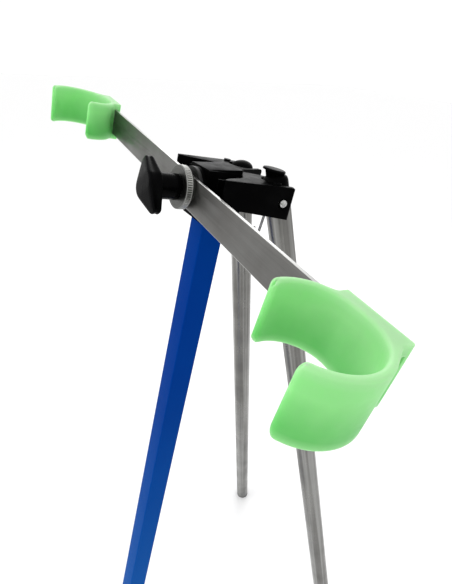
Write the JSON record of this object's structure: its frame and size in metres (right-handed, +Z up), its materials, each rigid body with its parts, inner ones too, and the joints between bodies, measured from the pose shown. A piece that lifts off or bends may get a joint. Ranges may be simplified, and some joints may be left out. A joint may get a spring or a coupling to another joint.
{
  "type": "surf rod tripod",
  "caption": "Fishing rod stand: tilting flat crossbar with C-shaped green rod rests, wing knob clamp, leaning blue front leg and folding round rear legs.",
  "frame": {"origin": "on the ground, under the middle of the stand's bounding box", "axes": "+Z up, +X across the front towards the rod rest that hangs lower, +Y from the front leg towards the rear legs"},
  "size_m": [0.5478, 0.3766, 0.8857],
  "materials": {
    "green_plastic": "soft satin moulding, slightly translucent",
    "bar_aluminium": "satin rolled flat bar",
    "disc_aluminium": "turned and knurled",
    "leg_metal": "satin drawn tube",
    "blue_paint": "smooth satin blue coating",
    "black_plastic": "fine-grained black moulding",
    "foot_rubber": "matt black rubber",
    "fastener_steel": "bright plated steel",
    "insert_brass": "turned brass",
    "friction_rubber": "dense black friction ring"
  },
  "bodies": {
    "stand": {"head_body": "black_plastic", "front_leg_tube": "blue_paint", "front_leg_plug": "black_plastic", "front_leg_foot": "foot_rubber", "pivot_bolt": "fastener_steel", "bolt_washer": "fastener_steel", "friction_washer": "friction_rubber", "pivot_rivet_right": "fastener_steel", "pivot_rivet_left": "fastener_steel", "rivet_washers": "fastener_steel"},
    "bar": {"crossbar": "bar_aluminium", "rod_rest_right": "green_plastic", "rod_rest_left": "green_plastic", "rest_screws": "fastener_steel"},
    "clamp": {"clamp_disc": "disc_aluminium"},
    "knob": {"wing_knob": "black_plastic", "knob_insert": "insert_brass"},
    "right_leg": {"rear_leg_tube_right": "leg_metal", "leg_knuckle_right": "black_plastic", "rear_leg_foot_right": "foot_rubber"},
    "left_leg": {"rear_leg_tube_left": "leg_metal", "leg_knuckle_left": "black_plastic", "rear_leg_foot_left": "foot_rubber"},
    "hook": {"weight_hook": "fastener_steel"}
  },
  "joints": [
    {"name": "bar_tilt", "type": "hinge", "parent": "stand", "child": "bar", "pos_m": [0.01382, -0.05872, 0.82815], "axis": [0, -0.9848, 0.1736], "continuous": true},
    {"name": "clamp_slide", "type": "slide", "parent": "stand", "child": "clamp", "axis": [0, -0.9848, 0.1736], "range_m": [0, 0.0025]},
    {"name": "knob_turn", "type": "hinge", "parent": "clamp", "child": "knob", "pos_m": [0.01382, -0.05872, 0.82815], "axis": [0, -0.9848, 0.1736], "range_deg": [0, 760]},
    {"name": "right_leg_fold", "type": "hinge", "parent": "stand", "child": "right_leg", "pos_m": [0.04642, 0.02053, 0.81976], "axis": [-0.9311, 0.3593, -0.0634], "range_deg": [0, 22.1]},
    {"name": "left_leg_fold", "type": "hinge", "parent": "stand", "child": "left_leg", "pos_m": [-0.01878, 0.02053, 0.81976], "axis": [-0.9311, -0.3593, 0.0634], "range_deg": [0, 22.1]},
    {"name": "hook_swing", "type": "hinge", "parent": "stand", "child": "hook", "pos_m": [0.02799, 0.02764, 0.81851], "axis": [0.9311, -0.3593, 0.0634], "range_deg": [-35, 80]}
  ],
  "couplings": [
    {"joint": "knob_turn", "follows": "clamp_slide", "rad_per_m": 5026.5}
  ]
}
